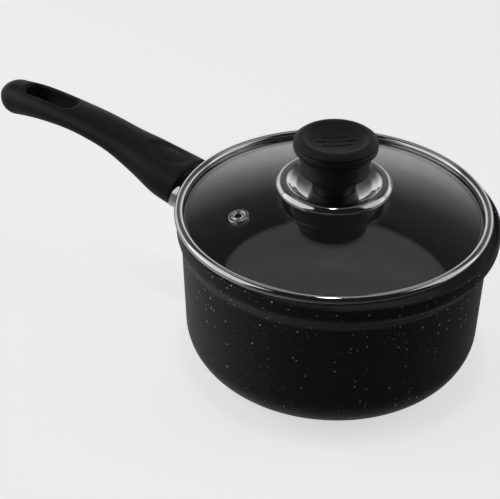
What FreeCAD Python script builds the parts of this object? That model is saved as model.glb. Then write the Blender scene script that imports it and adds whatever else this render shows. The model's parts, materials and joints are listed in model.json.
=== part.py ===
"""Saucepan with a glass lid, a 16 cm pan with one long handle, as a parametric FreeCAD document.

Frame: millimetres, +Z up, origin at the centre of the base's underside.  The handle runs along -X
and the pour lip faces +X.  Every turned piece is drawn as (radius, height) and turned about Z.
"""
import FreeCAD, Part
import Sketcher
import math
import os

doc = FreeCAD.newDocument("saucepan_with_glass_lid")

# ---------------------------------------------------------------- driving dimensions
SIZES = {
    # pan shell
    "wall_radius": 80.0, "wall_foot_radius": 79.0, "foot_radius": 57.0, "corner_radius": 22.0,
    "wall_gauge": 2.0, "base_gauge": 3.0, "flare_base": 69.0, "flare_top": 79.0, "rim_height": 84.85,
    "flare_reach": 2.4, "pour_reach": 3.3, "groove_pitch": 5.0, "groove_depth": 0.3, "groove_first": 17.0,
    # handle joint
    "lug_length": 31.0, "lug_width": 12.0, "lug_height": 9.0, "foot_width": 15.0, "foot_height": 10.5,
    "guard_gauge": 0.8, "front_reach": 95.5, "front_height": 71.0, "front_lean": 20.0,
    "screw_rise": 13.9, "screw_root": 67.8, "socket_gap": 0.2,
    # handle screw
    "screw_radius": 2.45, "screw_tip": 14.0, "screw_seat": 89.0, "head_radius": 4.3, "head_height": 3.2,
    "washer_gauge": 1.2, "thread_gap": 0.05, "shank_gap": 0.35,
    # grip
    "slot_near": 174.6, "slot_far": 211.4, "slot_width": 12.4,
    # lid
    "lid_shift": 1.3, "dome_radius": 262.0, "dome_top": 99.0, "glass_gauge": 3.6, "glass_radius": 78.3,
    "glass_hole": 4.2, "bead_ring": 80.1, "bead_height": 87.4, "bead_radius": 2.4, "band_gauge": 0.4,
    "skirt_radius": 78.8, "skirt_base": 82.6, "lip_radius": 75.7,
    # vent
    "vent_reach": 52.0, "vent_bearing": -125.5, "vent_radius": 5.4, "vent_bore": 1.9, "vent_tube": 2.7,
    # knob
    "plate_radius": 29.8, "plate_gauge": 0.6, "plate_floor": 99.8, "crest_radius": 27.0,
    "crest_height": 105.0, "collar_radius": 11.05, "collar_top_radius": 12.4, "collar_top": 109.2,
    "knob_radius": 18.2, "flange_radius": 21.6, "flange_height": 124.6, "parting": 126.6,
    "knob_top": 130.0, "rod_radius": 2.45, "insert_radius": 3.6, "insert_top": 116.0,
}

sheet = doc.addObject("Spreadsheet::Sheet", "sizes")
for row, (name, number) in enumerate(SIZES.items(), start=1):
    sheet.set(f"A{row}", name)
    sheet.set(f"B{row}", str(number))
    sheet.setAlias(f"B{row}", name)
doc.recompute()


class Size:
    """A length that knows its number and the spreadsheet expression it comes from."""

    def __init__(self, number, text):
        self.number = number
        self.text = text

    def __add__(self, other):
        other = as_size(other)
        return Size(self.number + other.number, f"({self.text} + {other.text})")

    def __sub__(self, other):
        other = as_size(other)
        return Size(self.number - other.number, f"({self.text} - {other.text})")

    def __mul__(self, factor):
        return Size(self.number * factor, f"({self.text} * {factor})")

    def __neg__(self):
        return Size(-self.number, f"(0 - {self.text})")


def as_size(value):
    """A plain number becomes a Size of its own."""
    return value if isinstance(value, Size) else Size(float(value), f"({float(value)})")


def cell(name):
    """The driving dimension with that name."""
    return Size(SIZES[name], f"sizes.{name}")


# ---------------------------------------------------------------- drawing helpers
def new_body(label):
    body = doc.addObject("PartDesign::Body", label)
    body.Label = label
    return body


def new_sketch(body, name, role, lift=None):
    """A sketch on one of the body's own origin planes, lifted along the plane's normal."""
    drawing = body.newObject("Sketcher::SketchObject", f"{body.Label}_{name}")
    plane = next(item for item in body.Origin.OriginFeatures if item.Role == role)
    drawing.AttachmentSupport = [(plane, "")]
    drawing.MapMode = "FlatFace"
    if lift is not None:
        drawing.setExpression("AttachmentOffset.Base.z", as_size(lift).text)
    return drawing


def arc_between(start, end, radius):
    """The short arc from start to end: a positive radius turns left, a negative one turns right."""
    middle = (start + end) * 0.5
    half = (end - start) * 0.5
    reach = math.sqrt(max(radius * radius - half.Length ** 2, 0.0))
    left = FreeCAD.Vector(-half.y, half.x, 0).normalize()
    side = left if radius > 0 else -left
    bulge = middle + side * (reach - abs(radius))
    return Part.Arc(start, bulge, end)


def pin_point(drawing, edge, end, corner):
    """Ties a corner to the sketch's origin by two distances bound to the spreadsheet."""
    for kind, length in (("DistanceX", as_size(corner[0])), ("DistanceY", as_size(corner[1]))):
        rule = Sketcher.Constraint(kind, -1, 1, edge, end, length.number)
        number = drawing.addConstraint(rule)
        drawing.setExpression(f"Constraints[{number}]", length.text)


def draw_loop(drawing, corners):
    """Closes a loop.  A corner (x, y) ends a straight edge, and (x, y, radius) ends an arc."""
    places = [FreeCAD.Vector(as_size(c[0]).number, as_size(c[1]).number, 0) for c in corners]
    first = drawing.GeometryCount
    ends = []
    for index, corner in enumerate(corners):
        start, end = places[index - 1], places[index]
        if len(corner) == 2:
            drawing.addGeometry(Part.LineSegment(start, end), False)
            ends.append((1, 2))
        else:
            drawing.addGeometry(arc_between(start, end, corner[2]), False)
            ends.append((1, 2) if corner[2] > 0 else (2, 1))
    count = len(corners)
    for index, corner in enumerate(corners):
        edge, following = first + index, first + (index + 1) % count
        tail, head = ends[index][1], ends[(index + 1) % count][0]
        drawing.addConstraint(Sketcher.Constraint("Coincident", edge, tail, following, head))
        pin_point(drawing, edge, tail, corner)
        if len(corner) == 3:
            drawing.addConstraint(Sketcher.Constraint("Radius", edge, abs(corner[2])))


def draw_smooth(drawing, points):
    """A smooth closed curve through the points."""
    curve = Part.BSplineCurve()
    curve.interpolate([FreeCAD.Vector(x, y, 0) for x, y in points], PeriodicFlag=True)
    drawing.addGeometry(curve, False)


def turn(body, corners, cut=False, name="profile"):
    """Turns a (radius, height) outline about Z, to add it to the body or to cut it away."""
    drawing = new_sketch(body, name, "XZ_Plane")
    draw_loop(drawing, corners)
    kind = "PartDesign::Groove" if cut else "PartDesign::Revolution"
    turned = body.newObject(kind, f"{body.Label}_{name}_turned")
    turned.Profile = drawing
    turned.ReferenceAxis = (drawing, ["V_Axis"])
    turned.Angle = 360
    return turned


def turned_body(label, corners):
    body = new_body(label)
    turn(body, corners)
    return body


def loft(body, sections, cut=False, name="loft"):
    kind = "PartDesign::SubtractiveLoft" if cut else "PartDesign::AdditiveLoft"
    blended = body.newObject(kind, f"{body.Label}_{name}")
    blended.Profile = sections[0]
    blended.Sections = sections[1:]
    return blended


def primitive(body, kind, name, place, **lengths):
    """A PartDesign primitive whose lengths are bound to the spreadsheet."""
    solid = body.newObject(f"PartDesign::{kind}", f"{body.Label}_{name}")
    solid.Placement = place
    for key, length in lengths.items():
        solid.setExpression(key, as_size(length).text)
    return solid


def boolean(kind, label, base, tool):
    result = doc.addObject(f"Part::{kind}", label)
    result.Label = label
    result.Base = base
    result.Tool = tool
    return result


# ---------------------------------------------------------------- pan shell
STEP_SLICES = 5
RIM_SLICES = 3
LIP_POINTS = 48


def rim_outline(radius, reach, pour):
    """The rim seen from above: a circle that swells smoothly into the pour lip at +X."""
    points = []
    for index in range(LIP_POINTS):
        angle = 2 * math.pi * index / LIP_POINTS
        swell = ((1 + math.cos(angle)) / 2) ** 2
        spread = radius + reach + pour * swell
        points.append((spread * math.cos(angle), spread * math.sin(angle)))
    return points


def flared_solid(label, profile, radius, top):
    """A turned cup shape whose top widens, through a smooth step, into the flared rim."""
    body = turned_body(label, profile)
    low, high = cell("flare_base"), cell("flare_top")
    levels = []
    for index in range(STEP_SLICES):
        share = index / (STEP_SLICES - 1)
        levels.append((low + (high - low) * share, share * share * (3 - 2 * share)))
    for index in range(RIM_SLICES):
        levels.append((high + (top - high) * ((index + 1) / RIM_SLICES), 1.0))
    sections = []
    for index, (lift, ease) in enumerate(levels):
        section = new_sketch(body, f"slice_{index}", "XY_Plane", lift)
        reach, pour = cell("flare_reach").number * ease, cell("pour_reach").number * ease
        draw_smooth(section, rim_outline(radius, reach, pour))
        sections.append(section)
    loft(body, sections, name="flare")
    return body


pan_outside = flared_solid("pan_outside", [
    (0, 0), (cell("foot_radius"), 0),
    (cell("wall_foot_radius"), cell("corner_radius"), cell("corner_radius").number),
    (cell("wall_radius"), cell("flare_base")), (0, cell("flare_base")),
], SIZES["wall_radius"], cell("rim_height"))

inner_corner = SIZES["corner_radius"] - SIZES["wall_gauge"]
pan_inside = flared_solid("pan_inside", [
    (0, cell("base_gauge")), (cell("foot_radius"), cell("base_gauge")),
    (cell("wall_foot_radius") - cell("wall_gauge"), cell("base_gauge") + inner_corner, inner_corner),
    (cell("wall_radius") - cell("wall_gauge"), cell("flare_base")), (0, cell("flare_base")),
], SIZES["wall_radius"] - SIZES["wall_gauge"], cell("rim_height") + 5)

groove_count = 8
for index in range(groove_count):
    middle = cell("groove_first") + cell("groove_pitch") * index
    turn(pan_outside, [(middle - cell("groove_depth"), 0), (middle + cell("groove_depth"), 0),
                       (middle, cell("groove_depth"))], cut=True, name=f"groove_{index}")

pan_body = boolean("Cut", "pan_body", pan_outside, pan_inside)

# ---------------------------------------------------------------- handle
WALL_POINT = FreeCAD.Vector(-SIZES["wall_radius"], 0, SIZES["screw_root"])
FRONT_POINT = FreeCAD.Vector(-SIZES["front_reach"], 0, SIZES["front_height"])


def outwards(origin, rise, distance, across=0.0, above=0.0):
    """A frame at an offset from the origin, with X running out over the handle at that rise."""
    turned = FreeCAD.Rotation(FreeCAD.Vector(0, 0, 1), 180)
    turned = turned.multiply(FreeCAD.Rotation(FreeCAD.Vector(0, 1, 0), -rise))
    return FreeCAD.Placement(origin + turned.multVec(FreeCAD.Vector(distance, across, above)), turned)


def on_screw_line(distance, across=0.0, above=0.0):
    """A frame on the handle screw's line, at a distance from the wall."""
    return outwards(WALL_POINT, SIZES["screw_rise"], distance, across, above)


def along_screw(distance):
    """The same frame with Z running outwards, as cylinders and turned pieces need it."""
    place = on_screw_line(distance)
    place.Rotation = place.Rotation.multiply(FreeCAD.Rotation(FreeCAD.Vector(0, 1, 0), 90))
    return place


# Lug: an oval foot welded to the wall, with a rectangular tenon that the grip slides over.
lug_blank = new_body("lug_blank")
half_width, half_height = cell("lug_width").number / 2, cell("lug_height").number / 2
primitive(lug_blank, "AdditiveBox", "tenon", on_screw_line(-4, -half_width, -half_height),
          Length=cell("lug_length") + 4, Width=cell("lug_width"), Height=cell("lug_height"))
half_width, half_height = cell("foot_width").number / 2, cell("foot_height").number / 2
primitive(lug_blank, "AdditiveBox", "foot", on_screw_line(-6, -half_width, -half_height),
          Length=10, Width=cell("foot_width"), Height=cell("foot_height"))
primitive(lug_blank, "SubtractiveCylinder", "thread", along_screw(SIZES["screw_tip"] - 3),
          Radius=cell("screw_radius") + cell("thread_gap"), Height=cell("lug_length"))
handle_lug = boolean("Cut", "handle_lug", lug_blank, pan_outside)


# Grip: (distance from the pan's axis, height, half width, half height) of each section.
GRIP_SECTIONS = [
    (88.0, 69.3, 16.6, 14.2), (96.0, 71.0, 16.4, 14.0), (104.0, 72.5, 16.2, 13.8),
    (112.0, 74.4, 15.7, 13.2), (121.0, 77.6, 14.5, 11.7), (132.0, 81.1, 13.2, 9.6),
    (144.0, 84.8, 12.3, 8.0), (157.0, 87.6, 12.0, 7.3), (172.0, 89.5, 11.9, 6.9),
    (190.0, 90.4, 12.0, 7.7), (206.0, 90.1, 11.5, 9.0), (219.0, 88.7, 10.6, 9.9),
]
GRIP_END = (230.8, 88.8)
END_ANGLES = (35, 58, 74, 84)
SECTION_POINTS = 28
FULLNESS = 2.3


def oval(half_wide, half_high, middle):
    """A rounded oval, fuller than an ellipse, in a plane across the handle."""
    points = []
    for index in range(SECTION_POINTS):
        angle = 2 * math.pi * index / SECTION_POINTS
        c, s = math.cos(angle), math.sin(angle)
        across = math.copysign(abs(c) ** (2 / FULLNESS), c) * half_wide
        above = math.copysign(abs(s) ** (2 / FULLNESS), s) * half_high
        points.append((across, middle + above))
    return points


def cross_section(body, name, distance, middle, half_wide, half_high):
    section = new_sketch(body, name, "YZ_Plane", -distance)
    draw_smooth(section, oval(half_wide, half_high, middle))
    return section


handle_grip = new_body("handle_grip")
sections = [cross_section(handle_grip, f"section_{index}", *row)
            for index, row in enumerate(GRIP_SECTIONS)]
last = GRIP_SECTIONS[-1]
for angle in END_ANGLES:
    share, shrink = math.sin(math.radians(angle)), math.cos(math.radians(angle)) ** (2 / FULLNESS)
    sections.append(cross_section(
        handle_grip, f"end_{angle}", last[0] + (GRIP_END[0] - last[0]) * share,
        last[1] + (GRIP_END[1] - last[1]) * share, last[2] * shrink, last[3] * shrink))
loft(handle_grip, sections, name="grip")

BLOCK = 80.0


def trim(body, name, distance, direction):
    """Cuts the body off at the leaning front face: direction -1 clears the pan's side of it."""
    start = distance if direction > 0 else distance - BLOCK
    place = outwards(FRONT_POINT, SIZES["front_lean"], start, -BLOCK / 2, -BLOCK / 2)
    primitive(body, "SubtractiveBox", name, place, Length=BLOCK, Width=BLOCK, Height=BLOCK)


trim(handle_grip, "front_face", 0.0, -1)

slot_end = SIZES["slot_width"] / 2
near, far = SIZES["slot_near"] + slot_end, SIZES["slot_far"] - slot_end
SLOT_FLOOR, SLOT_DEPTH = 60.0, 60.0
for name, place in (("slot_near_end", near), ("slot_far_end", far)):
    base = FreeCAD.Vector(-place, 0, SLOT_FLOOR)
    primitive(handle_grip, "SubtractiveCylinder", name, FreeCAD.Placement(base, FreeCAD.Rotation()),
              Radius=cell("slot_width") * 0.5, Height=SLOT_DEPTH)
primitive(handle_grip, "SubtractiveBox", "slot_middle",
          FreeCAD.Placement(FreeCAD.Vector(-far, -slot_end, SLOT_FLOOR), FreeCAD.Rotation()),
          Length=cell("slot_far") - cell("slot_near") - cell("slot_width"),
          Width=cell("slot_width"), Height=SLOT_DEPTH)

gap = cell("socket_gap")
half_width = (SIZES["lug_width"] / 2) + SIZES["socket_gap"]
half_height = (SIZES["lug_height"] / 2) + SIZES["socket_gap"]
primitive(handle_grip, "SubtractiveBox", "socket", on_screw_line(0, -half_width, -half_height),
          Length=cell("lug_length") + 1, Width=cell("lug_width") + gap * 2,
          Height=cell("lug_height") + gap * 2)
primitive(handle_grip, "SubtractiveCylinder", "screw_bore", along_screw(20),
          Radius=cell("screw_radius") + cell("shank_gap"), Height=cell("screw_seat") - 15)
primitive(handle_grip, "SubtractiveCylinder", "screw_seat", along_screw(SIZES["screw_seat"]),
          Radius=cell("head_radius") + 0.4, Height=12)

# Flame guard: a drawn steel cup between the wall and the grip, open towards the pan.
# It is as wide as the grip but lower, so that the grip's front face shows black above it.
GUARD_SECTIONS = [(104.0, 69.6, 16.0, 11.6), (96.0, 68.7, 16.0, 11.4), (88.0, 67.6, 15.8, 11.2),
                  (70.0, 65.4, 14.6, 10.6)]
GUARD_CLEARANCE = 0.1


def guard_form(label, inset, clearance):
    """The guard's outer or inner form, set in by its gauge and trimmed to the grip's front face."""
    form = new_body(label)
    rings = [cross_section(form, f"ring_{index}", row[0], row[1], row[2] - inset, row[3] - inset)
             for index, row in enumerate(GUARD_SECTIONS)]
    loft(form, rings, name="form")
    trim(form, "end", -clearance, 1)
    return form


guard_outside = guard_form("guard_outside", 0.0, GUARD_CLEARANCE)
primitive(guard_outside, "SubtractiveBox", "window", on_screw_line(0, -half_width, -half_height),
          Length=cell("lug_length"), Width=cell("lug_width") + gap * 2,
          Height=cell("lug_height") + gap * 2)
guard_inside = guard_form("guard_inside", SIZES["guard_gauge"],
                          GUARD_CLEARANCE + SIZES["guard_gauge"])
guard_cup = boolean("Cut", "guard_cup", guard_outside, guard_inside)
flame_guard = boolean("Cut", "flame_guard", guard_cup, pan_outside)

# Handle screw and its spring washer, reached through the hanging slot.
screw_length = cell("screw_seat") + cell("washer_gauge") - cell("screw_tip")
recess = SIZES["head_radius"] * 0.45
handle_screw = turned_body("handle_screw", [
    (0, 0), (cell("screw_radius") - 0.6, 0), (cell("screw_radius"), 0.8),
    (cell("screw_radius"), screw_length), (cell("head_radius"), screw_length),
    (cell("head_radius"), screw_length + cell("head_height") * 0.5),
    (recess, screw_length + cell("head_height")),
    (0, screw_length + cell("head_height") - 1.8),
])
handle_screw.Placement = along_screw(SIZES["screw_tip"])
lock_washer = turned_body("lock_washer", [
    (cell("screw_radius") + 0.15, 0), (cell("head_radius") - 0.1, 0),
    (cell("head_radius") - 0.1, cell("washer_gauge")), (cell("screw_radius") + 0.15, cell("washer_gauge")),
])
lock_washer.Placement = along_screw(SIZES["screw_seat"])

# ---------------------------------------------------------------- lid
LID_PLACE = FreeCAD.Placement(FreeCAD.Vector(-SIZES["lid_shift"], 0, 0), FreeCAD.Rotation())
DOME = SIZES["dome_radius"]
UNDER = DOME - SIZES["glass_gauge"]


def dome_height(radius, sphere=DOME):
    """Height of the glass's upper face, or with UNDER its lower face, at a radius."""
    return SIZES["dome_top"] - DOME + math.sqrt(sphere * sphere - radius * radius)


hole, edge = SIZES["glass_hole"], SIZES["glass_radius"]
lid_glass = turned_body("lid_glass", [
    (hole, dome_height(hole, UNDER)), (edge, dome_height(edge, UNDER), -UNDER),
    (edge, dome_height(edge)), (hole, dome_height(hole), DOME),
])
bearing = math.radians(SIZES["vent_bearing"])
outwards = FreeCAD.Vector(math.cos(bearing), math.sin(bearing), 0)
lean = math.degrees(math.asin(SIZES["vent_reach"] / DOME))
VENT_PLACE = FreeCAD.Placement(
    outwards * SIZES["vent_reach"] + FreeCAD.Vector(0, 0, dome_height(SIZES["vent_reach"])),
    FreeCAD.Rotation(FreeCAD.Vector(0, 0, 1).cross(outwards), lean))
primitive(lid_glass, "SubtractiveCylinder", "vent_hole",
          VENT_PLACE.multiply(FreeCAD.Placement(FreeCAD.Vector(0, 0, -10), FreeCAD.Rotation())),
          Radius=cell("vent_tube") + 0.2, Height=20)

# Rim band: a steel strip rolled into a round bead, with a skirt that clasps the glass's edge.
bead, gauge = SIZES["bead_radius"], SIZES["band_gauge"]
BEAD_OPENING = math.radians(237)


def on_bead(radius, angle):
    return (SIZES["bead_ring"] + radius * math.cos(angle), SIZES["bead_height"] + radius * math.sin(angle))


rim_band = turned_body("rim_band", [
    on_bead(bead - gauge, math.pi), on_bead(bead - gauge, math.pi / 2) + (-(bead - gauge),),
    on_bead(bead - gauge, 0) + (-(bead - gauge),),
    on_bead(bead - gauge, -math.pi / 2) + (-(bead - gauge),),
    on_bead(bead - gauge, BEAD_OPENING) + (-(bead - gauge),),
    (cell("skirt_radius") - cell("band_gauge"), 85.35),
    (cell("skirt_radius") - cell("band_gauge"), cell("skirt_base") + 0.7),
    (cell("skirt_radius") - cell("band_gauge") - 0.3, cell("skirt_base") + cell("band_gauge")),
    (cell("lip_radius"), cell("skirt_base") + cell("band_gauge")), (cell("lip_radius"), cell("skirt_base")),
    (cell("skirt_radius") - 0.5, cell("skirt_base")), (cell("skirt_radius"), cell("skirt_base") + 0.5),
    on_bead(bead, BEAD_OPENING), on_bead(bead, -math.pi / 2) + (bead,), on_bead(bead, 0) + (bead,),
    on_bead(bead, math.pi / 2) + (bead,), on_bead(bead, math.pi) + (bead,),
])

# Vent: a flanged steel eyelet through the glass, rolled over a washer beneath it.
below = -SIZES["glass_gauge"]
vent_eyelet = turned_body("vent_eyelet", [
    (cell("vent_bore"), below - 1.6), (cell("vent_tube"), below - 1.6),
    (cell("vent_tube"), 0.15), (cell("vent_radius") - 0.5, 0.15), (cell("vent_radius"), 0.6),
    (cell("vent_radius") - 0.4, 1.1), (cell("vent_radius") - 1.6, 1.3), (cell("vent_tube") + 0.2, 0.7),
    (cell("vent_bore"), 0.5),
])
vent_washer = turned_body("vent_washer", [
    (cell("vent_tube") + 0.02, below - 0.9), (cell("vent_radius") - 0.4, below - 0.9),
    (cell("vent_radius") - 0.4, below - 0.15), (cell("vent_tube") + 0.02, below - 0.15),
])

# Knob stack, from the glass upwards.
floor, gauge = cell("plate_floor"), cell("plate_gauge")
top_seal = turned_body("top_seal", [
    (cell("glass_hole"), dome_height(hole)), (13.0, dome_height(13.0), -DOME),
    (13.0, floor), (cell("glass_hole"), floor),
])
crest, height = cell("crest_radius"), cell("crest_height")
knob_plate = turned_body("knob_plate", [
    (cell("rod_radius") + 0.3, floor), (14.5, floor), (19.0, floor + 1.1, 9.0), (23.0, floor + 3.6),
    (25.0, height - 0.9, -4.0), (crest, height - gauge, -3.2), (28.9, height - 1.9, -2.0),
    (29.2, 102.0), (28.6, 101.6), (28.9, 101.2), (cell("plate_radius"), 101.7),
    (29.7, height - 1.6), (crest, height, 3.0), (24.6, height - 0.4, 3.8), (22.7, floor + gauge + 3.5),
    (18.8, floor + gauge + 1.1), (14.5, floor + gauge, -8.4), (cell("rod_radius") + 0.3, floor + gauge),
])
collar, collar_top = cell("collar_radius"), cell("collar_top")
knob_collar = turned_body("knob_collar", [
    (cell("insert_radius") + 0.4, floor + gauge), (collar - 0.5, floor + gauge),
    (collar, floor + gauge + 0.5), (cell("collar_top_radius"), collar_top),
    (cell("insert_radius") + 0.4, collar_top),
])
side, flange, part_line = cell("knob_radius"), cell("flange_radius"), cell("parting")
knob_body = turned_body("knob_body", [
    (cell("insert_radius"), collar_top), (side - 2.6, collar_top), (side, collar_top + 2.8, 3.0),
    (side, collar_top + 9.8), (side + 0.9, collar_top + 11.9, -3.6),
    (flange, cell("flange_height"), 4.0), (flange - 0.1, part_line),
    (flange - 2.6, part_line), (flange - 2.6, part_line - 2.0), (16.0, part_line - 2.0),
    (16.0, part_line - 5.0), (0, part_line - 5.0),
    (0, cell("insert_top")), (cell("insert_radius"), cell("insert_top")),
])
knob_cap = turned_body("knob_cap", [
    (0, part_line - 4.8), (15.8, part_line - 4.8), (15.8, part_line - 1.8), (18.8, part_line - 1.8),
    (18.8, part_line + 0.1), (flange - 0.2, part_line + 0.1), (21.2, part_line + 1.2, 2.4),
    (17.6, cell("knob_top"), 3.6), (15.2, cell("knob_top") - 1.0, 3.6), (12.6, cell("knob_top") - 2.6),
    (3.0, cell("knob_top") - 3.4, -60.0), (0, cell("knob_top") - 3.4),
])
knob_insert = turned_body("knob_insert", [
    (cell("rod_radius") + cell("thread_gap"), floor + gauge + 1.0), (cell("insert_radius"), floor + gauge + 1.0),
    (cell("insert_radius"), cell("insert_top")), (0, cell("insert_top")),
    (0, cell("insert_top") - 1.0), (cell("rod_radius") + cell("thread_gap"), cell("insert_top") - 1.0),
])

# Under the glass: silicone seal with a sleeve in the hole, steel washer and the lid screw.
apex = cell("dome_top") - cell("glass_gauge")
under_seal = turned_body("under_seal", [
    (cell("rod_radius") + 0.1, apex - 1.0), (10.5, apex - 1.0), (10.5, dome_height(10.5, UNDER)),
    (4.1, dome_height(4.1, UNDER), UNDER), (4.1, floor - 0.1), (cell("rod_radius") + 0.1, floor - 0.1),
])
under_washer = turned_body("under_washer", [
    (cell("rod_radius") + 0.1, apex - 2.0), (9.0, apex - 2.0), (9.0, apex - 1.0),
    (cell("rod_radius") + 0.1, apex - 1.0),
])
lid_screw = turned_body("lid_screw", [
    (0, apex - 3.4), (1.9, apex - 5.2), (3.6, apex - 5.0), (4.8, apex - 3.6, 2.4), (4.8, apex - 2.0),
    (cell("rod_radius"), apex - 2.0), (cell("rod_radius"), 113.0), (cell("rod_radius") - 0.6, 113.8),
    (0, 113.8),
])

for piece in (vent_eyelet, vent_washer):
    piece.Placement = LID_PLACE.multiply(VENT_PLACE)
LID_PIECES = (lid_glass, rim_band, top_seal, knob_plate, knob_collar, knob_body, knob_cap,
              knob_insert, under_seal, under_washer, lid_screw)
for piece in LID_PIECES:
    piece.Placement = LID_PLACE

# ---------------------------------------------------------------- check and export
PAN_PIECES = (pan_body, handle_lug, flame_guard, handle_grip, handle_screw, lock_washer)
doc.recompute()
failed = [item.Label for item in doc.Objects if "Invalid" in item.State or "Error" in item.State]
if failed:
    raise RuntimeError(f"these did not compute: {failed}")
os.makedirs("parts", exist_ok=True)
for piece in PAN_PIECES + LID_PIECES + (vent_eyelet, vent_washer):
    shape = piece.Shape
    if shape.isNull() or not shape.isValid() or len(shape.Solids) != 1:
        raise RuntimeError(f"{piece.Label} is not one valid solid")
    shape.exportStep(f"parts/{piece.Label}.step")
    print(f"{piece.Label:14s} {shape.Volume / 1000:8.2f} cm3")
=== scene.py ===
# %% [markdown]
# # Saucepan with a glass lid
# The pan is a pressed aluminium cup with a black non-stick coat, a phenolic grip held by one long
# screw, and a domed glass lid in a rolled steel band.  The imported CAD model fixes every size, so this
# lesson adds what CAD leaves out: clean smooth surfaces, finishes, light and a camera.
# Blender works in metres.  Outlines are easier to read in millimetres, so they are written that way
# and scaled once, where their vertices are made.

# %% Load the frame
import bpy
import bmesh
import json
import math
import numpy as np
from mathutils import Matrix, Vector


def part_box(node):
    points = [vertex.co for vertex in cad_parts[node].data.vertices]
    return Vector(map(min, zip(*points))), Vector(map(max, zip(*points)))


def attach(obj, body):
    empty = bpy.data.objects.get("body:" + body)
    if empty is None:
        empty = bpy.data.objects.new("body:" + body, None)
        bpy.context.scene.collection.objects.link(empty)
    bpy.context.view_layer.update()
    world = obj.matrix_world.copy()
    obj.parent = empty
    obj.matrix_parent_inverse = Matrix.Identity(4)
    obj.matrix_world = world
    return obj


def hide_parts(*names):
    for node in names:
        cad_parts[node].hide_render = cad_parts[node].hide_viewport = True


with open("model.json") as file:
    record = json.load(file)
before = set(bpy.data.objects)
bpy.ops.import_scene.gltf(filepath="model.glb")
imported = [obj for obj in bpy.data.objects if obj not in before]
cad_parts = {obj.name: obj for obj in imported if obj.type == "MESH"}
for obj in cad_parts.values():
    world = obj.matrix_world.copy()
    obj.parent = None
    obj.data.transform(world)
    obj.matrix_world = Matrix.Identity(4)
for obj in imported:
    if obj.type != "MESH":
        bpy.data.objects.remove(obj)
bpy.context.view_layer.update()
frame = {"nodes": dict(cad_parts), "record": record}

MM = 0.001

# %% [markdown]
# ## Measuring the CAD nodes
# Nothing here is placed by eye.  A turned piece is known from its box: half its width is its radius,
# and its lowest and highest points are its faces.  The lid's axis comes from the band's box, because
# the lid rests a little off the pan's axis.

# %% Sizes from the frame
def middle(node):
    """The centre of a node's box, in metres."""
    low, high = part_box(node)
    return (low + high) / 2


def turned_size(node):
    """(radius, lowest, highest) of a turned node, in millimetres."""
    low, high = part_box(node)
    return (high.y - low.y) / 2 / MM, low.z / MM, high.z / MM


LID_X = middle("rim_band").x
RIM_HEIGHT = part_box("pan_body")[1].z / MM
print("lid axis at x =", round(LID_X / MM, 2), "mm, rim at z =", round(RIM_HEIGHT, 2), "mm")

# %% [markdown]
# ## Turning, the way most of this object is made
# The pan, the band, the plate and the knob are all turned or spun, so one lathe helper draws them.
# Blender's Screw modifier could do it, but a mesh written ring by ring keeps exact radii, and a ring
# can leave the circle where the pan has its pour lip.  An outline is a list of (radius, height)
# corners, and a third number on a corner rounds it with an arc of that radius.

# %% Outline and lathe helpers
TURNS = 224
ARC_STEPS = 7


def rounded(corners, steps=ARC_STEPS):
    """The outline with each (radius, height, rounding) corner replaced by a tangent arc."""
    outline = []
    for index, corner in enumerate(corners):
        here = Vector(corner[:2])
        if len(corner) == 2:
            outline.append(here)
            continue
        before = (Vector(corners[index - 1][:2]) - here).normalized()
        after = (Vector(corners[(index + 1) % len(corners)][:2]) - here).normalized()
        half = before.angle(after) / 2
        centre = here + (before + after).normalized() * (corner[2] / math.sin(half))
        setback = corner[2] / math.tan(half)
        start, end = here + before * setback - centre, here + after * setback - centre
        for step in range(steps + 1):
            share = step / steps
            outline.append(centre + (start * (1 - share) + end * share).normalized() * corner[2])
    return outline


def upright(centre_x=0.0):
    """Places an outline's point at an angle about a vertical axis through centre_x."""
    def place(point, angle):
        reach = point[0] * MM
        return Vector((centre_x + reach * math.cos(angle), reach * math.sin(angle), point[1] * MM))
    return place


def lathe(name, outline, place, turns=TURNS):
    """Skins a closed outline round its axis."""
    build = bmesh.new()
    rings = []
    for point in outline:
        count = 1 if abs(point[0]) < 1e-6 else turns
        rings.append([build.verts.new(place(point, 2 * math.pi * i / turns)) for i in range(count)])
    for low, high in zip(rings, rings[1:] + rings[:1]):
        if len(low) == len(high) == 1:
            continue
        for i in range(turns):
            j = (i + 1) % turns
            around = [low[i % len(low)], low[j % len(low)], high[j % len(high)], high[i % len(high)]]
            build.faces.new(list(dict.fromkeys(around)))
    bmesh.ops.recalc_face_normals(build, faces=build.faces)
    mesh = bpy.data.meshes.new(name)
    build.to_mesh(mesh)
    build.free()
    return mesh


def shade(mesh, crease=30):
    """Smooth shading, with edges sharper than the crease kept crisp."""
    mesh.shade_smooth()
    mesh.set_sharp_from_angle(angle=math.radians(crease))


def arc(centre, radius, start, end, steps):
    """Points of an arc between two angles in degrees, as (radius, height) pairs."""
    points = []
    for step in range(steps + 1):
        angle = math.radians(start + (end - start) * step / steps)
        points.append(Vector((centre[0] + radius * math.cos(angle), centre[1] + radius * math.sin(angle))))
    return points


print("a rounded square has", len(rounded([(1, 0, 0.2), (2, 0, 0.2), (2, 1, 0.2), (1, 1, 0.2)])), "points")

# %% [markdown]
# ## Writing shader maths as Python
# Node links are hard to read in code.  This small class wraps a socket, so that `1 - mask` or
# `noise * 0.2 + 0.5` adds the Math nodes itself.  Colours go through Mix nodes, because a Math node
# would turn them grey.

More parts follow.
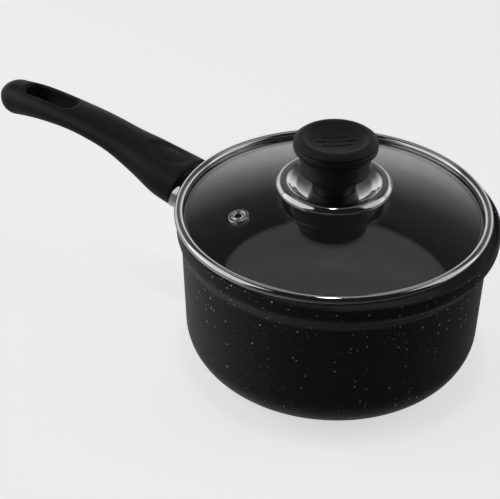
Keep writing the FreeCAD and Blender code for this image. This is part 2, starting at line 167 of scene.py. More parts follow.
# %% Shader maths helper
class Wire:
    """A socket of one node tree that understands + - * > < and their reflected forms."""

    def __init__(self, socket):
        self.socket = socket

    def node(self, kind, settings, values, output=0):
        """Adds a node: settings first, then each socket's value or link, by name or by number."""
        made = self.socket.id_data.nodes.new(kind)
        for key, value in settings.items():
            if key == "stops":
                set_stops(made.color_ramp, value)
            else:
                setattr(made, key, value)
        for key, value in values.items():
            if isinstance(value, Wire):
                self.socket.id_data.links.new(value.socket, made.inputs[key])
            else:
                made.inputs[key].default_value = value
        return Wire(made.outputs[output])

    def math(self, operation, *values):
        return self.node("ShaderNodeMath", {"operation": operation}, dict(enumerate(values)))

    def mix(self, low, high):
        """A colour from low to high, by this wire."""
        return self.node("ShaderNodeMix", {"data_type": "RGBA"}, {0: self, 6: low, 7: high}, output=2)

    def dot(self, other):
        return self.node("ShaderNodeVectorMath", {"operation": "DOT_PRODUCT"}, {0: self, 1: other}, output=1)

    def ramp(self, *stops):
        """This wire read through a ramp of (place, shade) stops."""
        return self.node("ShaderNodeValToRGB", {"stops": stops}, {0: self})

    def part(self, number):
        """One component of this vector or colour."""
        return self.node("ShaderNodeSeparateXYZ", {}, {0: self}, output=number)

    def feed(self, shader, name):
        self.socket.id_data.links.new(self.socket, shader.inputs[name])

    def __add__(self, other):
        return self.math("ADD", self, other)

    def __radd__(self, other):
        return self.math("ADD", other, self)

    def __sub__(self, other):
        return self.math("SUBTRACT", self, other)

    def __rsub__(self, other):
        return self.math("SUBTRACT", other, self)

    def __mul__(self, other):
        return self.math("MULTIPLY", self, other)

    def __rmul__(self, other):
        return self.math("MULTIPLY", other, self)

    def __gt__(self, other):
        return self.math("GREATER_THAN", self, other)

    def __lt__(self, other):
        return self.math("LESS_THAN", self, other)


def set_stops(ramp, stops):
    """Fills a ramp with grey stops."""
    while len(ramp.elements) < len(stops):
        ramp.elements.new(0.5)
    for element, (position, level) in zip(ramp.elements, stops):
        element.position = position
        element.color = (level, level, level, 1)


def new_finish(name, **fixed):
    """(material, its Principled shader with the fixed sockets set, the object-space position)."""
    material = bpy.data.materials.new(name)
    material.use_nodes = True
    shader = material.node_tree.nodes["Principled BSDF"]
    for key, value in fixed.items():
        shader.inputs[key.replace("_", " ")].default_value = value
    where = material.node_tree.nodes.new("ShaderNodeTexCoord")
    return material, shader, Wire(where.outputs["Object"])


def grain(where, size, detail=2.0):
    """Soft fractal noise whose features are about that many millimetres across."""
    return where.node("ShaderNodeTexNoise", {}, {"Vector": where, "Scale": 1 / (size * MM), "Detail": detail})


def stretch(where, x, y, z):
    """The position with each axis scaled, so that a noise on it runs in one direction."""
    return where.node("ShaderNodeVectorMath", {"operation": "MULTIPLY"}, {0: where, 1: (x, y, z)})


def relief(height, shader, depth):
    """Turns a height wire into surface relief of that depth in millimetres."""
    height.node("ShaderNodeBump", {}, {"Height": height, "Distance": depth * MM}).feed(shader, "Normal")


def grey(level, warm=0.0):
    """A linear colour, a little warm or cool."""
    return (level * (1 + warm), level, level * (1 - warm), 1)


FINISHES = {}
print("shader helpers ready")

# %% [markdown]
# ## The pan's coat
# The shell wears a sprayed black non-stick coat with stone-like flecks.  A picture of flecks would
# repeat and blur, so a Voronoi texture scatters one point in each cell instead, and the distance to
# that point makes a small round fleck.  Most cells are dropped by their random colour, so that the
# flecks stay sparse.  Only the outside is flecked: the food side has a plain smooth coat, and the
# surface's normal tells the two apart.  The food side is also painted a much lighter grey than the
# outside.  That grey is painted light: it stands in for the light that falls into the pan through the glass.
# Fluoropolymer bends light less than plastic, hence its IOR.

# %% Flecked non-stick coat
def flecks(where, cell, kept, largest):
    """(mask, tone) of round spots: at most one per cell, kept by chance, up to largest in radius, in mm."""
    spot = where.node("ShaderNodeTexVoronoi", {}, {"Vector": where, "Scale": 1 / (cell * MM)})
    chance = Wire(spot.socket.node.outputs["Color"])
    tone = chance.part(1)
    reach = tone * (0.65 * largest / cell) + 0.35 * largest / cell
    crowd = grain(where, 22.0).ramp((0.42, 0.30), (0.60, 1.0))
    return (spot < reach) * (chance.part(0) > 1 - crowd * kept), tone


def food_side(where):
    """1 inside the cup, below its rim, where the surface faces up or towards the pan's axis."""
    facing = Wire(where.socket.node.outputs["Normal"])
    level = where.node("ShaderNodeVectorMath", {"operation": "MULTIPLY"}, {0: where, 1: (1, 1, 0)})
    outwards = level.node("ShaderNodeVectorMath", {"operation": "NORMALIZE"}, {0: level})
    away = facing.dot(outwards)
    return ((facing.part(2) - away) > 0) * (where.part(2) < (RIM_HEIGHT - 2.5) * MM)


def pan_coating():
    material, shader, where = new_finish("pan_coating", IOR=1.36)
    inside = food_side(where)
    outside = 1 - inside
    large, tone = flecks(where, cell=2.1, kept=0.38, largest=0.56)
    small, _ = flecks(where, cell=1.3, kept=0.34, largest=0.30)
    large, small = large * outside, small * outside
    sprayed = grain(where, 9.0).mix(grey(0.019), grey(0.026))
    # Painted light: the food side's lighter grey stands in for light falling into the pan through the glass.
    food_side_painted_light = grain(where, 9.0).mix(grey(0.095), grey(0.115))
    base = inside.mix(sprayed, food_side_painted_light)
    spotted = large.mix(base, tone.mix(grey(0.12, 0.02), grey(0.85, 0.03)))
    (small * 0.7).mix(spotted, grey(0.45, 0.02)).feed(shader, "Base Color")
    (grain(where, 14.0) * 0.10 + 0.34).feed(shader, "Roughness")
    relief(grain(where, 0.7) * outside + large * 0.5, shader, 0.008)
    return material


FINISHES["pan_coating"] = pan_coating()
print("coat:", FINISHES["pan_coating"].name)

# %% [markdown]
# ## Moulded black parts
# The grip and the knob are phenolic, moulded under heat.  The grip's mould is blasted, so it comes
# out satin with a fine even tooth.  The knob's body comes from a polished mould, and its cap from a
# matte one.  One function makes all three, and differs only in roughness and in the size of the tooth.

# %% Phenolic finishes
def phenolic(name, level, roughness, tooth, depth):
    """Black moulding: a base grey, a roughness, and a tooth of that size and depth in mm."""
    material, shader, where = new_finish(name, IOR=1.46)
    grain(where, 11.0).mix(grey(level), grey(level * 1.5)).feed(shader, "Base Color")
    handled = grain(where, 16.0, 3.0)
    (handled * 0.12 + (roughness - 0.06)).feed(shader, "Roughness")
    relief(grain(where, tooth, 3.0), shader, depth)
    return material


FINISHES["grip_black"] = phenolic("grip_black", 0.0060, 0.50, 0.35, 0.008)
FINISHES["knob_gloss"] = phenolic("knob_gloss", 0.0240, 0.36, 0.9, 0.004)
FINISHES["cap_matte"] = phenolic("cap_matte", 0.0125, 0.54, 0.28, 0.010)
print("phenolic:", [name for name in FINISHES if name != "pan_coating"])

# %% [markdown]
# ## Metals
# The band, the plate, the guard and the eyelet are polished stainless steel: a mirror with faint
# lines that run the way the buffing wheel ran, round each turned piece.  The fasteners are zinc
# plated, which is duller and slightly blue, and the thread insert is brass.

# %% Metal finishes
def metal(name, colour, low, high, lines, depth):
    """A metal whose roughness wanders from low to high, with fine lines of that size in mm."""
    material, shader, where = new_finish(name, Metallic=1.0)
    cloud = grain(where, 7.0, 3.0)
    cloud.mix(tuple(0.94 * part for part in colour[:3]) + (1,), colour).feed(shader, "Base Color")
    fine = grain(stretch(where, 1, 1, 4), lines, 4.0)
    (cloud * (high - low) * 0.6 + fine * (high - low) * 0.4 + low).feed(shader, "Roughness")
    relief(fine, shader, depth)
    return material


FINISHES["polished_steel"] = metal("polished_steel", (0.80, 0.80, 0.81, 1), 0.05, 0.13, 0.8, 0.002)
FINISHES["zinc_steel"] = metal("zinc_steel", (0.60, 0.62, 0.65, 1), 0.25, 0.42, 0.5, 0.006)
FINISHES["lug_aluminium"] = metal("lug_aluminium", (0.78, 0.78, 0.79, 1), 0.34, 0.52, 0.6, 0.012)
FINISHES["insert_brass"] = metal("insert_brass", (0.72, 0.50, 0.22, 1), 0.22, 0.38, 0.5, 0.006)
print("metals:", [name for name in FINISHES if "steel" in name or "brass" in name])

# %% [markdown]
# ## Seals and glass
# Silicone is soft and cloudy, so it gets a pale warm base and a high roughness.  The lid is tempered
# soda glass.  A pure glass shader would throw a dark shadow into the
# pan, because light through it needs caustics, so rays that only test for shadow pass straight
# through a transparent shader instead.

# %% Silicone and glass finishes
def silicone():
    material, shader, where = new_finish("silicone", IOR=1.41)
    grain(where, 3.0).mix(grey(0.30, 0.01), grey(0.38, 0.01)).feed(shader, "Base Color")
    (grain(where, 1.5) * 0.15 + 0.50).feed(shader, "Roughness")
    relief(grain(where, 0.4), shader, 0.012)
    return material


def clear_glass():
    material, shader, where = new_finish("clear_glass", IOR=1.52, Transmission_Weight=1.0)
    grain(where, 30.0).mix((0.93, 0.97, 0.955, 1), (0.96, 0.98, 0.97, 1)).feed(shader, "Base Color")
    (grain(where, 18.0) * 0.012).feed(shader, "Roughness")
    nodes, links = material.node_tree.nodes, material.node_tree.links
    through = nodes.new("ShaderNodeBsdfTransparent")
    rays = nodes.new("ShaderNodeLightPath")
    choice = nodes.new("ShaderNodeMixShader")
    links.new(rays.outputs["Is Shadow Ray"], choice.inputs[0])
    links.new(shader.outputs[0], choice.inputs[1])
    links.new(through.outputs[0], choice.inputs[2])
    links.new(choice.outputs[0], nodes["Material Output"].inputs["Surface"])
    return material


FINISHES["silicone"] = silicone()
FINISHES["clear_glass"] = clear_glass()
print("finishes:", len(FINISHES))

# %% [markdown]
# ## Putting a piece in its place
# Every new mesh stands for one CAD node.  It rides on the same body, and the node is hidden while
# MuJoCo keeps it for collision.

# %% Piece helper
def stand_for(node, mesh, slot, crease=30):
    """Adds the mesh as the visible form of a CAD node, with a record slot's finish."""
    piece = bpy.data.objects.new(node + "_fine", mesh)
    bpy.context.scene.collection.objects.link(piece)
    mesh.materials.append(FINISHES[slot])
    shade(mesh, crease)
    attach(piece, "pan" if node in frame["record"]["behaviour"]["bodies"]["pan"] else "lid")
    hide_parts(node)
    print(f"{piece.name}: {len(mesh.vertices)} vertices")
    return piece


def cut_away(piece, cutters):
    """Takes the cutters' volumes out of a piece and deletes them."""
    for cutter in cutters:
        bpy.context.scene.collection.objects.link(cutter)
        cut = piece.modifiers.new("cut", "BOOLEAN")
        cut.object = cutter
        cut.solver = "EXACT"
    bpy.context.view_layer.update()
    graph = bpy.context.evaluated_depsgraph_get()
    result = bpy.data.meshes.new_from_object(piece.evaluated_get(graph))
    piece.modifiers.clear()
    piece.data = result
    for cutter in cutters:
        bpy.data.objects.remove(cutter)


print("piece helpers ready")

# %% [markdown]
# ## Pan shell
# A disc of aluminium is drawn into a cup, the wall is stepped outwards near the rim, and the rim is
# pressed into a pour lip.  One closed outline runs from the middle of the inside, up the inner wall,
# over the rounded rim and down to the middle of the base.  The lathe's place function then pushes the
# upper wall out, further towards +X, where the pan pours.

# %% Pan shell
WALL, GAUGE, BASE = 80.0, 2.0, 3.0
STEP_LOW, STEP_HIGH = 69.0, 79.0
FLARE, POUR = 2.4, 3.3


def flared(point, angle):
    """The place of a wall point, with the step outwards and the pour lip."""
    rise = min(max((point[1] - STEP_LOW) / (STEP_HIGH - STEP_LOW), 0), 1)
    ease = rise * rise * (3 - 2 * rise)
    swell = ((1 + math.cos(angle)) / 2) ** 2
    reach = (point[0] + (FLARE + POUR * swell) * ease) * MM
    return Vector((reach * math.cos(angle), reach * math.sin(angle), point[1] * MM))


def pan_outline():
    corner, flat = 22.0, 57.0
    inside = [(0, BASE), (flat * 0.5, BASE)] + arc((flat, BASE + corner - GAUGE), corner - GAUGE, -90, 0, 14)
    wall = WALL - GAUGE
    climb = [(wall, height) for height in np.linspace(STEP_LOW, RIM_HEIGHT - 1.2, 17)]
    rim = rounded([(wall, RIM_HEIGHT - 1.1), (wall, RIM_HEIGHT, 0.9), (WALL, RIM_HEIGHT, 0.9),
                   (WALL, RIM_HEIGHT - 1.1)])[1:-1]
    descend = [(WALL, height) for height in np.linspace(RIM_HEIGHT - 1.2, STEP_LOW, 17)]
    outside = arc((flat, corner), corner, 0, -90, 16)
    base = []
    for index in reversed(range(8)):
        groove = 17.0 + 5.0 * index
        base += [(groove + 0.3, 0), (groove, 0.3), (groove - 0.3, 0)]
    return inside + climb + rim + descend + outside + base + [(0, 0)]


stand_for("pan_body", lathe("pan_shell", pan_outline(), flared), "pan_coating")

# %% [markdown]
# ## Rim band
# A strip of steel is rolled into a round bead outside and folded in under the glass.  Drawn as one
# outline: the bead as an arc, the skirt that drops inside the pan, and the lip that holds the glass.

# %% Rim band
def band_outline():
    bead, gauge = 2.4, 0.4
    radius, _, high = turned_size("rim_band")
    centre = (radius - bead, high - bead)
    skirt, base, lip = 78.8, 82.6, 75.7
    hollow = arc(centre, bead - gauge, 180, -123, 26)
    inner = [(skirt - gauge, 85.35), (skirt - gauge, base + gauge, 0.6), (lip, base + gauge), (lip, base)]
    outer = [(skirt, base, 0.9)]
    crown = arc(centre, bead, -123, 180, 34)
    return rounded(hollow + inner + outer + crown)


stand_for("rim_band", lathe("band", band_outline(), upright(LID_X), 288), "polished_steel")

# %% [markdown]
# ## Glass
# The pane is a shallow dome of even thickness, ground flat at its edge.  Both faces are spheres about
# one centre, so the light bends as it does in the real pane.  The hole for the vent is drilled with a
# boolean, square to the dome.

# %% Glass pane
DOME, PANE = 262.0, 3.6
DOME_TOP = turned_size("lid_glass")[2]


def dome(radius, under=0.0):
    """Height of the pane's upper face at a radius, or of a face that far under it."""
    sphere = DOME - under
    return DOME_TOP - DOME + math.sqrt(sphere * sphere - radius * radius)


def glass_outline():
    edge, hole = turned_size("lid_glass")[0], 4.2
    rings = np.linspace(hole, edge - 0.5, 40)
    upper = [(radius, dome(radius)) for radius in rings]
    lower = [(radius, dome(radius, PANE)) for radius in rings[::-1]]
    return upper + [(edge, dome(edge) - 0.4), (edge, dome(edge, PANE) + 0.4)] + lower


def drill(radius, place, depth=20.0):
    """A round cutter whose axis is the place's Z, centred on the place's origin."""
    outline = [(0, -depth / 2), (radius, -depth / 2), (radius, depth / 2), (0, depth / 2)]
    mesh = lathe("drill", outline, upright(), 48)
    mesh.transform(place)
    return bpy.data.objects.new("drill", mesh)


def vent_place():
    """The vent's own frame: its origin on the upper face, its Z square to the dome."""
    centre = middle("vent_eyelet")
    out = Vector((centre.x - LID_X, centre.y, 0))
    reach = out.length / MM
    lean = math.asin(reach / DOME)
    axis = Vector((0, 0, 1)).cross(out.normalized())
    origin = Vector((centre.x, centre.y, dome(reach) * MM))
    return Matrix.Translation(origin) @ Matrix.Rotation(lean, 4, axis)


VENT = vent_place()
pane = stand_for("lid_glass", lathe("pane", glass_outline(), upright(LID_X), 288), "clear_glass")
cut_away(pane, [drill(2.9, VENT)])
shade(pane.data)

# %% [markdown]
# ## Vent eyelet
# A steel eyelet is pushed through the hole and rolled over below, so that steam can leave.  It is a
# small turned piece with a rolled flange, drawn upright and then leant over onto the dome.

# %% Vent eyelet
def eyelet_outline():
    bore, tube, flange, below = 1.9, 2.7, 5.4, -5.2
    return rounded([
        (bore, below), (tube, below), (tube, 0.15), (flange - 0.5, 0.15), (flange, 0.4, 0.25),
        (flange - 0.4, 0.85, 0.4), (flange - 1.7, 0.95, 0.5), (flange - 2.0, 0.55, 0.25),
        (tube + 0.35, 0.55, 0.25), (tube, 0.95, 0.35), (bore, 0.7, 0.3)])


eyelet_mesh = lathe("eyelet", eyelet_outline(), upright(), 96)
eyelet_mesh.transform(VENT)
stand_for("vent_eyelet", eyelet_mesh, "polished_steel")

# %% [markdown]
# ## Knob plate
# Under the knob sits a spun steel dish: a flat floor, a shoulder that rises to a rounded crest, and a
# rolled rim that comes down outside.  It keeps fingers off the glass and spreads the screw's pull.

# %% Knob plate
def plate_outline():
    radius, floor, _ = turned_size("knob_plate")
    crest, gauge = 27.0, 0.6
    top = turned_size("knob_plate")[2]
    return rounded([
        (2.8, floor), (14.5, floor), (19.5, floor + 1.3, 5.0), (23.0, floor + 3.4, 3.0),
        (24.8, top - gauge, 1.6), (crest + 0.8, top - gauge, 2.0), (radius - gauge, top - 2.4, 1.2),
        (radius - gauge, floor + 2.2, 0.3), (radius - 1.2, floor + 1.7), (radius - 0.9, floor + 1.3, 0.25),
        (radius, floor + 1.6, 0.4), (radius, top - 2.0, 1.8), (crest + 1.0, top, 2.0), (24.4, top, 1.6),
        (22.6, floor + gauge + 3.3, 3.0), (19.3, floor + gauge + 1.3, 5.0), (14.5, floor + gauge),
        (2.8, floor + gauge)])


stand_for("knob_plate", lathe("plate", plate_outline(), upright(LID_X)), "polished_steel")

# %% [markdown]
# ## Knob
# The knob is three mouldings: a collar that stands on the plate, a cup-shaped body with a flange, and
# a dished cap pressed into the cup.  Moulded edges are never sharp, so every corner gets a radius.

# %% Knob collar, body and cap
DISH = 3.4


def collar_outline():
    radius, low, high = turned_size("knob_collar")
    foot = radius - 1.35
    return rounded([
        (4.0, low), (foot, low, 0.5), (foot + 0.1, low + 1.2, 1.0), (radius, high, 0.4), (4.0, high)])


def body_outline():
    flange, low, high = turned_size("knob_body")
    side = flange - 3.4
    return rounded([
        (3.6, low), (side - 2.6, low, 0.5), (side - 0.2, low + 1.6, 2.4), (side, low + 9.8, 6.0),
        (side + 1.2, low + 12.4, 3.0), (flange - 0.1, high - 3.4, 2.2), (flange, high - 0.6, 0.8),
        (flange - 0.8, high, 0.5), (flange - 2.6, high, 0.2), (flange - 2.6, high - 2.0), (16.0, high - 2.0),
        (16.0, high - 5.0), (3.6, high - 5.0)])


def cap_outline():
    radius, low, high = turned_size("knob_cap")
    seam = turned_size("knob_body")[2] + 0.1
    return rounded([
        (0, low), (15.8, low), (15.8, seam - 1.9), (18.8, seam - 1.9), (18.8, seam), (radius, seam, 0.25),
        (radius, seam + 1.0, 1.2), (radius - 2.6, high - 0.2, 3.0), (16.6, high, 2.2),
        (13.4, high - 2.3, 2.4), (7.0, high - 3.1, 8.0), (2.0, high - DISH), (0, high - DISH)])


stand_for("knob_collar", lathe("collar", collar_outline(), upright(LID_X)), "knob_gloss")
stand_for("knob_body", lathe("knob", body_outline(), upright(LID_X)), "knob_gloss")
cap = stand_for("knob_cap", lathe("cap", cap_outline(), upright(LID_X)), "cap_matte")

# %% [markdown]
# ## Grooves in the cap
# Three short grooves in the dish stop a wet finger from sliding.  Each is cut by a bar with round ends
# that lies across the cap and dips a little way into it, as the ridge in a real mould does.

# %% Cap grooves
def groove_bar(across, length, radius=0.75, turned=math.radians(39)):
    """A lying bar with round ends, that far across from the cap's middle, in millimetres."""
    reach = length / 2 - radius
    outline = arc((0, -reach), radius, -90, 0, 8) + arc((0, reach), radius, 0, 90, 8)
    mesh = lathe("bar", outline, upright(), 32)
    mesh.transform(Matrix.Translation((across * MM, 0, 0)) @ Matrix.Rotation(math.radians(90), 4, "X"))
    surface = turned_size("knob_cap")[2] - DISH
    over_dish = Vector((LID_X, 0, (surface + 0.40) * MM))
    mesh.transform(Matrix.Translation(over_dish) @ Matrix.Rotation(turned - math.radians(90), 4, "Z"))
    return bpy.data.objects.new("bar", mesh)


cut_away(cap, [groove_bar(-4.2, 14), groove_bar(0, 20), groove_bar(4.2, 16)])
shade(cap.data)
print("grooves cut:", 3)

# %% [markdown]
# ## Grip
# The grip is one phenolic moulding that swells at the pan, thins in the middle and ends in a blunt
# tail with a hanging slot.  Every edge on it is a soft roll, which a boolean and a bevel do badly
# where two curved faces meet.  So the grip is described as a field instead: a number at each point in
# space that is negative inside.  Its sections follow a smooth spline, and the slot, the cut face at
# the pan and the thumb rest are joined to it with a rounding of their own.

# %% Grip field
FULLNESS = 2.3
GRIP_SECTIONS = np.array([      # distance from the pan's axis, height, half width, half height
    (88.0, 69.3, 16.6, 14.2), (96.0, 71.0, 16.4, 14.0), (104.0, 72.5, 16.2, 13.8),
    (112.0, 74.4, 15.7, 13.2), (121.0, 77.6, 14.5, 11.7), (132.0, 81.1, 13.2, 9.6),
    (144.0, 84.8, 12.3, 8.0), (157.0, 87.6, 12.0, 7.3), (172.0, 89.5, 11.9, 6.9),
    (190.0, 90.4, 12.0, 7.7), (206.0, 90.1, 11.5, 9.0), (219.0, 88.7, 10.6, 9.9)])
GRIP_END = 230.7
SLOT_NEAR, SLOT_FAR, SLOT_WIDTH = 174.6, 211.4, 12.4
FRONT_REACH, FRONT_HEIGHT, FRONT_LEAN = 95.5, 71.0, math.radians(20)


def spline(knots, values):
    """A function of the natural cubic spline through the knots."""
    gap, count = np.diff(knots), len(knots)
    rows, right = np.eye(count), np.zeros(count)
    for i in range(1, count - 1):
        rows[i, i - 1:i + 2] = gap[i - 1], 2 * (gap[i - 1] + gap[i]), gap[i]
        right[i] = 6 * ((values[i + 1] - values[i]) / gap[i] - (values[i] - values[i - 1]) / gap[i - 1])
    bend = np.linalg.solve(rows, right)

    def value(at):
        at = np.clip(at, knots[0], knots[-1])
        i = np.clip(np.searchsorted(knots, at) - 1, 0, count - 2)
        a, b, h = knots[i + 1] - at, at - knots[i], gap[i]
        curve = (bend[i] * a ** 3 + bend[i + 1] * b ** 3) / (6 * h)
        return curve + (values[i] / h - bend[i] * h / 6) * a + (values[i + 1] / h - bend[i + 1] * h / 6) * b
    return value


HEIGHT_AT, WIDE_AT, HIGH_AT = (spline(GRIP_SECTIONS[:, 0], GRIP_SECTIONS[:, i]) for i in (1, 2, 3))


def both(one, other, radius):
    """Inside both fields, with the edge between them rounded to the radius."""
    outer = np.hypot(np.maximum(one + radius, 0), np.maximum(other + radius, 0))
    return np.minimum(np.maximum(one, other), -radius) + outer


def grip_field(points):
    """About the distance to the grip's skin at each point in millimetres, negative inside."""
    away, across, height = -points[..., 0], points[..., 1], points[..., 2]
    wide, high = WIDE_AT(away), HIGH_AT(away)
    last = GRIP_SECTIONS[-1, 0]
    beyond = np.maximum(away - last, 0) / (GRIP_END - last)
    ring = (np.abs(across) / wide) ** FULLNESS + (np.abs(height - HEIGHT_AT(away)) / high) ** FULLNESS
    form = ((ring + beyond ** 2) ** (1 / FULLNESS) - 1) * high
    rest = np.hypot((away - 107.0) / 15.0, across / 9.5)
    dish = np.clip((1.05 - rest) / 0.45, 0, 1)
    form = form + 1.1 * dish * dish * (3 - 2 * dish) * (height > HEIGHT_AT(away))
    reach = (SLOT_FAR - SLOT_NEAR - SLOT_WIDTH) / 2
    along = np.maximum(np.abs(away - (SLOT_NEAR + SLOT_FAR) / 2) - reach, 0)
    form = both(form, SLOT_WIDTH / 2 - np.hypot(along, across), 1.7)
    front = (FRONT_REACH - away) * math.cos(FRONT_LEAN) - (height - FRONT_HEIGHT) * math.sin(FRONT_LEAN)
    return both(form, front, 0.8)


print("at the grip's middle the field is", round(float(grip_field(np.array([-150.0, 0.0, 86.0]))), 2), "mm")

# %% [markdown]
# ## A skin over the field
# The field is sampled on a grid.  Every grid cell that the surface passes through gets one vertex,
# and every grid edge that crosses it gets one face.  The vertices are then evened out and slid along
# the field's slope until they lie on the surface, so the grid's steps vanish.  That is the same idea
# as a voxel remesh, but it ends exactly on the designed shape.

# %% Skin the grip
def slope(field, points, step=0.02):
    """The field's gradient by central differences."""
    rise = [field(points + shift) - field(points - shift) for shift in np.eye(3) * step]
    return np.stack(rise, -1) / (2 * step)


def skin(field, low, high, step):
    """(points, faces) of a quad mesh round the field's inside."""
    axes = [np.arange(a, b, step) for a, b in zip(low, high)]
    inside = field(np.stack(np.meshgrid(*axes, indexing="ij"), -1)) < 0
    corners = sum(inside[i:i - 1 or None, j:j - 1 or None, k:k - 1 or None].astype(int)
                  for i in (0, 1) for j in (0, 1) for k in (0, 1))
    mixed = (corners > 0) & (corners < 8)
    number = np.full(mixed.shape, -1)
    number[mixed] = np.arange(mixed.sum())
    faces = []
    for axis in range(3):
        one, two = (axis + 1) % 3, (axis + 2) % 3
        ahead = np.roll(inside, -1, axis)
        for sign, crossed in ((1, inside & ~ahead), (-1, ahead & ~inside)):
            at = np.argwhere(crossed)
            quad = []
            for back_one, back_two in ((1, 1), (0, 1), (0, 0), (1, 0))[::sign]:
                cell = at.copy()
                cell[:, one] -= back_one
                cell[:, two] -= back_two
                quad.append(number[tuple(cell.T)])
            faces.append(np.stack(quad, -1))
    return (np.argwhere(mixed) + 0.5) * step + np.array(low), np.concatenate(faces)


def settle(field, points, faces, rounds=4):
    """Evens the points out and slides them onto the surface."""
    edges = np.concatenate([faces[:, [i, (i + 1) % 4]] for i in range(4)])
    edges = np.concatenate([edges, edges[:, ::-1]])
    count = np.bincount(edges[:, 0], minlength=len(points))[:, None]
    for _ in range(rounds):
        total = np.zeros_like(points)
        np.add.at(total, edges[:, 0], points[edges[:, 1]])
        points = points * 0.4 + total / count * 0.6
        for _ in range(3):
            steep = slope(field, points)
            points = points - steep * (field(points) / (steep ** 2).sum(-1))[:, None]
    return points


def grip_mesh():
    points, faces = skin(grip_field, (-234, -19, 52), (-84, 19, 104), 0.8)
    points = settle(grip_field, points, faces)
    mesh = bpy.data.meshes.new("grip")
    mesh.from_pydata((points * MM).tolist(), [], faces.tolist())
    mesh.validate()
    return mesh


grip = stand_for("handle_grip", grip_mesh(), "grip_black", crease=180)

# %% [markdown]
# ## Screw seat
# One long screw runs up through the grip into the lug.  Its head sits in a round recess that opens
# into the near end of the hanging slot, where a screwdriver reaches it.  The recess is a plain drilled
# hole, so a boolean on the finished skin makes it.

# %% Screw seat
def on_screw_line(distance):
    """A frame that far along the screw's line, in millimetres, its Z towards the grip's tail."""
    rise, wall_height = math.radians(13.9), 67.8
    origin = Vector((-WALL - distance * math.cos(rise), 0, wall_height + distance * math.sin(rise))) * MM
    return Matrix.Translation(origin) @ Matrix.Rotation(rise - math.radians(90), 4, "Y")


SEAT_RADIUS, SEAT_MIDDLE, SEAT_DEPTH = 4.7, 97.0, 16.0
cut_away(grip, [drill(SEAT_RADIUS, on_screw_line(SEAT_MIDDLE), SEAT_DEPTH)])
shade(grip.data, 50)
print("grip with its screw seat:", len(grip.data.vertices), "vertices")

# %% [markdown]
# ## Plain finish for the rest
# The seals, washers, screws, insert and lug are already right in CAD, and hardly show.  They keep
# their meshes and only take a finish.

# %% Finishes on CAD nodes
KEPT = {
    "handle_lug": "lug_aluminium", "handle_screw": "zinc_steel", "lock_washer": "zinc_steel",
    "top_seal": "silicone", "under_seal": "silicone", "under_washer": "zinc_steel",
    "lid_screw": "zinc_steel", "vent_washer": "zinc_steel", "knob_insert": "insert_brass",
    "flame_guard": "polished_steel",
}
for node, slot in KEPT.items():
    for place in frame["nodes"][node].material_slots:
        place.material = FINISHES[slot]
print("kept nodes:", len(KEPT))

# %% [markdown]
# ## Directions in the studio
# Polished steel and gloss black only show what stands round them, so each lamp is placed for the
# bright band that it draws.  That is easier to think of from the camera: a bearing to the right of the
# line of sight, and a height above the floor in degrees.

# %% Directions from the camera
VIEW_TURN = math.radians(34)


def seen_from_camera(bearing, height, distance):
    """A point at a bearing to the right of the camera's line of sight, and at a height in degrees."""
    turn, rise = VIEW_TURN - math.radians(bearing), math.radians(height)
    level = distance * math.cos(rise)
    return Vector((-math.sin(turn) * level, math.cos(turn) * level, distance * math.sin(rise)))


print("straight ahead is", tuple(round(part, 2) for part in seen_from_camera(0, 0, 1)))

# %% [markdown]
# ## Floor
# A white floor mirrored in the pan would grey its black wall.  A real studio keeps such light off with
# black cards.  Here the floor glows a little, so that it stays pale, and is hidden from reflections.

# %% Floor
def add_floor():
    mesh = bpy.data.meshes.new("floor")
    size = 6.0
    corners = [(-size, -size, 0), (size, -size, 0), (size, size, 0), (-size, size, 0)]
    mesh.from_pydata(corners, [], [(0, 1, 2, 3)])
    piece = bpy.data.objects.new("floor", mesh)
    bpy.context.scene.collection.objects.link(piece)
    material, shader, where = new_finish("floor_paint", Roughness=0.9, Emission_Strength=0.62)
    grain(where, 300.0).mix(grey(0.90), grey(0.93)).feed(shader, "Base Color")
    shader.inputs["Emission Color"].default_value = grey(1.0)
    mesh.materials.append(material)
    piece.visible_glossy = False
    piece.visible_diffuse = False
    print("floor:", 2 * size, "m square")


add_floor()

# %% [markdown]
# ## Lamps
# A large soft panel stands on each side, and a faint oval one hangs high behind the lid, where the
# front of the glass mirrors it.  A narrow lamp overhead, a snoot, brings the food side out through the
# glass, and its pool of light ends before the grip.

# %% Lamps
def add_panel(name, bearing, height, distance, width, tall, radiance, shape="RECTANGLE"):
    """A soft panel that faces the pan.  Its power follows from its area and how bright it looks."""
    lamp = bpy.data.lights.new(name, "AREA")
    lamp.shape = shape
    lamp.size, lamp.size_y = width, tall
    lamp.energy = radiance * math.pi * width * tall
    piece = bpy.data.objects.new(name, lamp)
    piece.location = seen_from_camera(bearing, height, distance)
    piece.rotation_euler = (Vector((0, 0, 0.06)) - piece.location).to_track_quat("-Z", "Y").to_euler()
    bpy.context.scene.collection.objects.link(piece)
    print(f"{name}: {lamp.energy:.1f} W")


def add_snoot(height, spread, irradiance):
    """A narrow lamp straight above the pan that lights the lid and the food side, and not the grip."""
    lamp = bpy.data.lights.new("snoot", "SPOT")
    lamp.spot_size, lamp.spot_blend = math.radians(spread), 0.5
    lamp.shadow_soft_size = 0.16
    lamp.energy = irradiance * 4 * math.pi * height ** 2
    piece = bpy.data.objects.new("snoot", lamp)
    piece.location = (0, 0, height)
    bpy.context.scene.collection.objects.link(piece)
    print(f"snoot: {lamp.energy:.1f} W")


add_panel("top_panel", bearing=8, height=64.5, distance=1.5, width=1.35, tall=0.92, radiance=0.22,
          shape="ELLIPSE")
add_panel("left_panel", bearing=-94, height=30, distance=1.2, width=1.2, tall=1.2, radiance=0.70)
add_panel("right_panel", bearing=92, height=32, distance=1.2, width=0.8, tall=1.2, radiance=0.55)
add_snoot(height=1.2, spread=7.2, irradiance=1.0)

# %% [markdown]
# ## Surroundings
# The world stands for the rest of the studio.  Above the horizon it is bright low down behind the pan
# and dark overhead, and below the horizon it is brightest at the far left.  The camera itself sees
# plain white, by its ray type, so the gradient shows only in reflections and as soft light.

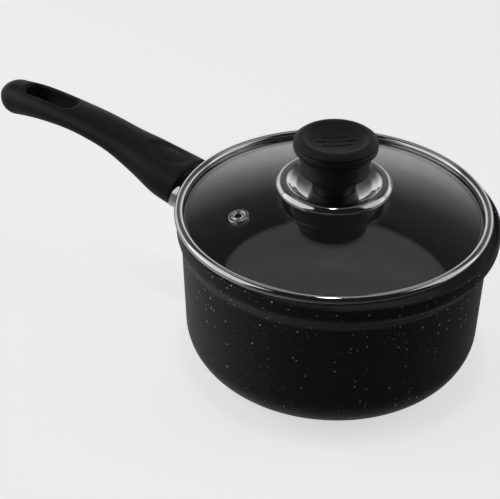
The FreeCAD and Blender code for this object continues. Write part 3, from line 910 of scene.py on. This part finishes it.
# %% Surroundings
def add_sky():
    """Surroundings: bright low down behind the pan, dim overhead and on the camera's side."""
    world = bpy.data.worlds.new("studio")
    bpy.context.scene.world = world
    world.use_nodes = True
    nodes, links = world.node_tree.nodes, world.node_tree.links
    where = Wire(nodes.new("ShaderNodeTexCoord").outputs["Generated"])

    def towards(bearing):
        """From 0 to 1 as the direction turns to that bearing."""
        return where.dot(seen_from_camera(bearing, 0, 1)) * 0.5 + 0.5

    behind = towards(0).ramp((0.40, 0.0), (0.75, 1.0))
    height = where.part(2)
    sky = height.ramp((0.0, 0.85), (0.22, 0.75), (0.40, 0.32), (0.52, 0.08), (0.70, 0.03)) * behind + 0.012
    ground = towards(-35).ramp((0.15, 0.04), (0.50, 0.10), (0.95, 0.36))
    ground = ground + (height * -1.0).ramp((0.6, 0.0), (1.0, 0.16))
    above = (height * 8 + 0.5).ramp((0.0, 0.0), (1.0, 1.0))
    back = nodes["Background"]
    (above * sky + (1 - above) * ground).feed(back, "Strength")
    back.inputs["Color"].default_value = (1, 1, 1, 1)
    plain = nodes.new("ShaderNodeBackground")
    plain.inputs["Color"].default_value = (1, 1, 1, 1)
    plain.inputs["Strength"].default_value = 0.98
    rays = nodes.new("ShaderNodeLightPath")
    choice = nodes.new("ShaderNodeMixShader")
    links.new(rays.outputs["Is Camera Ray"], choice.inputs[0])
    links.new(back.outputs[0], choice.inputs[1])
    links.new(plain.outputs[0], choice.inputs[2])
    links.new(choice.outputs[0], nodes["World Output"].inputs["Surface"])


add_sky()
bpy.context.scene.view_settings.view_transform = "Standard"
print("world:", bpy.context.scene.world.name)

# %% [markdown]
# ## Camera
# The view is from above the pan's front right, with the handle running away to the left.

# %% Camera
VIEW_TILT = math.radians(55.59)
lens = bpy.data.cameras.new("camera")
lens.lens, lens.sensor_width = 89.76, 36.0
camera = bpy.data.objects.new("camera", lens)
camera.location = (0.2681, -0.4764, 0.4351)
camera.rotation_euler = (VIEW_TILT, 0, VIEW_TURN)
bpy.context.scene.collection.objects.link(camera)
bpy.context.scene.camera = camera
print("camera at", tuple(round(part, 3) for part in camera.location))
